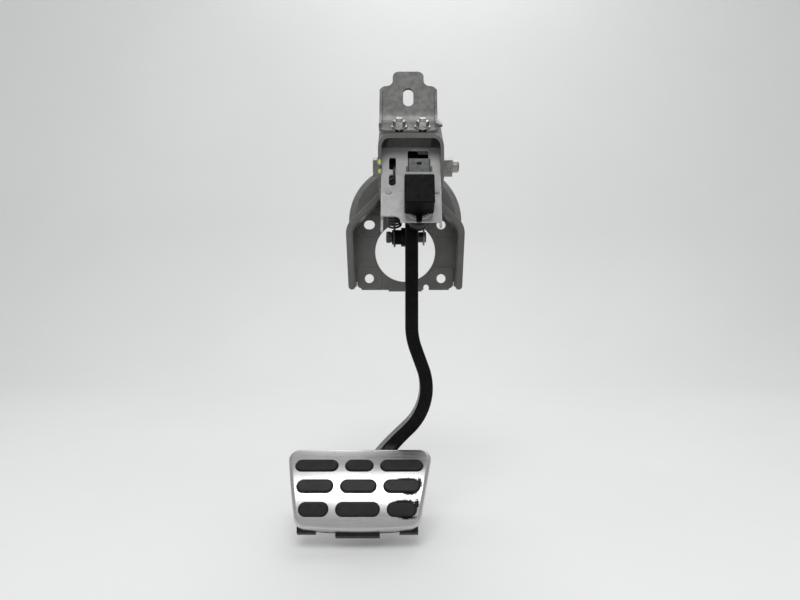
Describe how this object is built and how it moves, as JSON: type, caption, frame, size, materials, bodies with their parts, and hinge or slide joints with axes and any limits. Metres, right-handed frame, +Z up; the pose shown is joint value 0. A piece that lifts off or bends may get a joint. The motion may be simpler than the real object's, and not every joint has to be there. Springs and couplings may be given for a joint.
{
  "type": "brake pedal",
  "caption": "Hanging car brake pedal: welded firewall bracket with stop-lamp switch and return spring, cranked black arm and rubber pad under a slotted stainless cover.",
  "frame": {"origin": "centre of the pushrod hole, on the plane of the plate's face that meets the firewall", "axes": "+X to the driver's right, +Y forward through the firewall, +Z up; the pedal is at rest"},
  "size_m": [0.1712, 0.1783, 0.4245],
  "materials": {
    "bracket_paint": "semi-matt dark grey paint",
    "switch_plate_paint": "satin light grey paint",
    "zinc": "dull zinc plating",
    "black_plastic": "moulded, matt",
    "slate_plastic": "moulded, matt",
    "terminal_metal": "tinned",
    "spring_coat": "black coated wire",
    "plunger_plastic": "moulded, satin",
    "arm_paint": "gloss black paint",
    "bush_plastic": "moulded, satin",
    "stop_rubber": "matt",
    "pad_rubber": "matt",
    "stainless": "satin brushed along its length"
  },
  "bodies": {
    "bracket": {"firewall_plate": "bracket_paint", "pivot_housing": "bracket_paint", "switch_plate": "switch_plate_paint", "cowl_bracket": "bracket_paint", "cowl_studs": "zinc", "cowl_nuts": "zinc", "pivot_bolt": "zinc", "pivot_nut": "zinc", "pivot_sleeve": "zinc", "switch_housing": "black_plastic", "switch_lock_ring": "black_plastic", "switch_connector": "slate_plastic", "switch_terminals": "terminal_metal", "return_spring": "spring_coat"},
    "plunger": {"switch_plunger": "plunger_plastic"},
    "pedal": {"pedal_arm": "arm_paint", "pivot_tube": "arm_paint", "left_bush": "bush_plastic", "right_bush": "bush_plastic", "stop_bracket": "arm_paint", "stop_rubber": "stop_rubber", "clevis_pin": "zinc", "clevis_clip": "zinc", "spring_bush": "bush_plastic", "pad_plate": "arm_paint", "rubber_pad": "pad_rubber", "pad_cover": "stainless"}
  },
  "joints": [
    {"name": "pedal_pivot", "type": "hinge", "parent": "bracket", "child": "pedal", "pos_m": [0.004, -0.106, 0.072], "axis": [1, 0, 0], "range_deg": [0, 22], "stiffness_Nm_per_rad": 1.2, "springref_deg": -28.65, "deforming": ["return_spring"]},
    {"name": "plunger_slide", "type": "slide", "parent": "bracket", "child": "plunger", "axis": [0, 0.9397, -0.342], "range_m": [0, 0.005]}
  ],
  "couplings": [
    {"joint": "plunger_slide", "follows": "pedal_pivot", "m_per_rad": 0.013}
  ]
}
